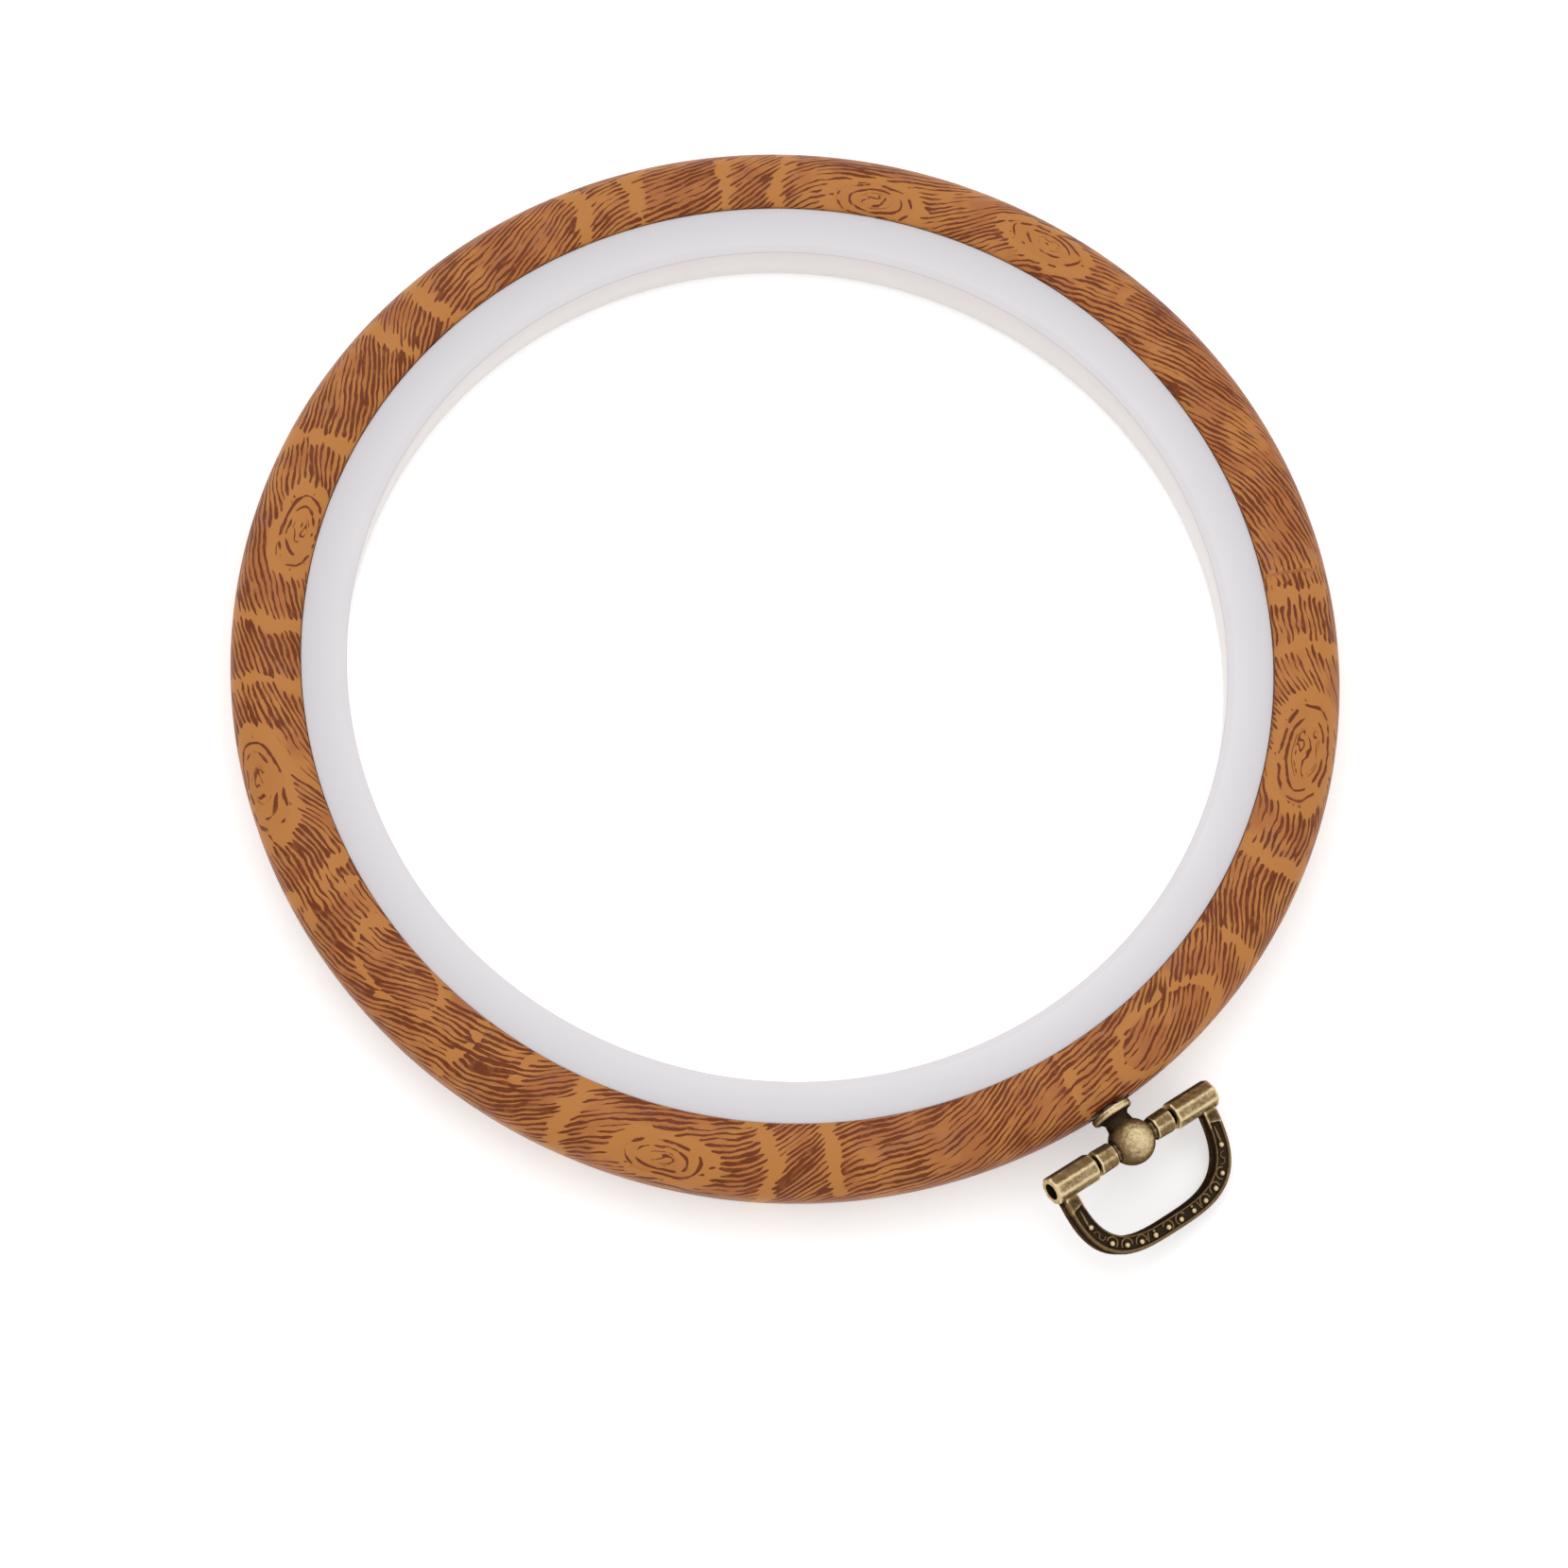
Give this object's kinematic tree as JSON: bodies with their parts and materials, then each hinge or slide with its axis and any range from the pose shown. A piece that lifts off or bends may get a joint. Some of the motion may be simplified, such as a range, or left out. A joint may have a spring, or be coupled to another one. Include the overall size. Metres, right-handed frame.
{
  "type": "embroidery hoop",
  "caption": "Round flexible embroidery hoop with a wood-grain outer ring, a white inner ring and a cast swivelling hanger with a D-shaped bail.",
  "frame": {"origin": "middle of the whole part's footprint, hanger included, at the height of the hoop's flat back, which it lies on", "axes": "+Z out of the hoop's front; +Y from the hoop towards the hanger; +X to the right with the hanger away from the viewer, seen from the front"},
  "size_m": [0.13, 0.1454, 0.0104],
  "materials": {
    "printed_vinyl": "satin vinyl with a printed wood grain",
    "white_plastic": "smooth moulded, slightly glossy",
    "antique_brass": "antique plated, darkened in the hollows and rubbed bright on the high spots",
    "steel": "plain zinc-plated"
  },
  "bodies": {
    "outer_hoop": {"outer_ring": "printed_vinyl"},
    "inner_hoop": {"inner_ring": "white_plastic"},
    "hanger": {"hanger_post": "antique_brass", "hinge_pin": "steel", "hanger_screw": "steel", "screw_washer": "steel"},
    "bail": {"bail": "antique_brass"}
  },
  "joints": [
    {"name": "inner_ring_lift", "type": "slide", "parent": "outer_hoop", "child": "inner_hoop", "axis": [0, 0, 1], "range_m": [0, 0.015]},
    {"name": "hanger_swivel", "type": "hinge", "parent": "outer_hoop", "child": "hanger", "pos_m": [0, 0.06172, 0.0063], "axis": [0, 1, 0], "continuous": true},
    {"name": "bail_swing", "type": "hinge", "parent": "hanger", "child": "bail", "pos_m": [0, 0.06172, 0.0063], "axis": [0.9781, 0, 0.2079], "range_deg": [-85, 125]}
  ]
}
